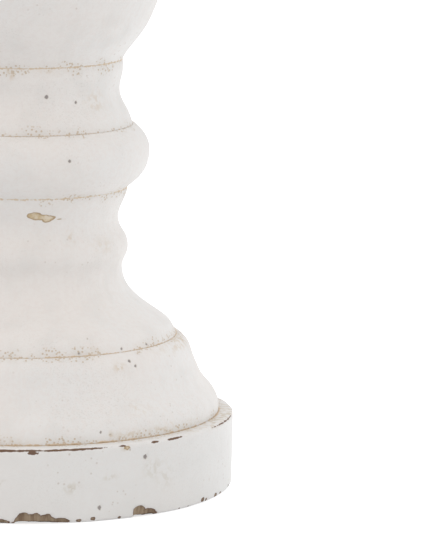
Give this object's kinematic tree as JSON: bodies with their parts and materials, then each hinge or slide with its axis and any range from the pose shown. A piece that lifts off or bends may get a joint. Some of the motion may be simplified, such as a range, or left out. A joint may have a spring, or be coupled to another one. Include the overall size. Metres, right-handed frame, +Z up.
{
  "type": "pillar candlestick",
  "caption": "Turned wooden pillar candlestick in distressed chalky white paint, with a ringed baluster column, a dished steel pan and a pricket for the candle.",
  "frame": {"origin": "centre of the underside, on the surface that the candlestick stands on", "axes": "+Z up the turning axis, from the underside to the pricket's point; X and Y are equal, as the body is round"},
  "size_m": [0.159, 0.159, 0.437],
  "materials": {
    "painted_wood": "distressed chalk paint over turned wood, ochre glaze in the seams",
    "pan_steel": "blackened pressed steel, satin",
    "bright_steel": "turned steel",
    "zinc_steel": "zinc plated",
    "felt": "pressed felt"
  },
  "bodies": {
    "root": {"plinth": "painted_wood", "bell_moulding": "painted_wood", "foot_flare": "painted_wood", "lower_ring": "painted_wood", "lower_collar": "painted_wood", "vase": "painted_wood", "upper_ring": "painted_wood", "upper_collar": "painted_wood", "cup": "painted_wood", "drip_plate": "painted_wood", "drip_pan": "pan_steel", "pricket": "bright_steel", "tie_rod": "zinc_steel", "top_nut": "zinc_steel", "top_washer": "zinc_steel", "bottom_nut": "zinc_steel", "bottom_washer": "zinc_steel", "base_screws": "zinc_steel", "plate_screws": "zinc_steel", "pan_screws": "pan_steel", "felt_pad": "felt"}
  },
  "joints": []
}
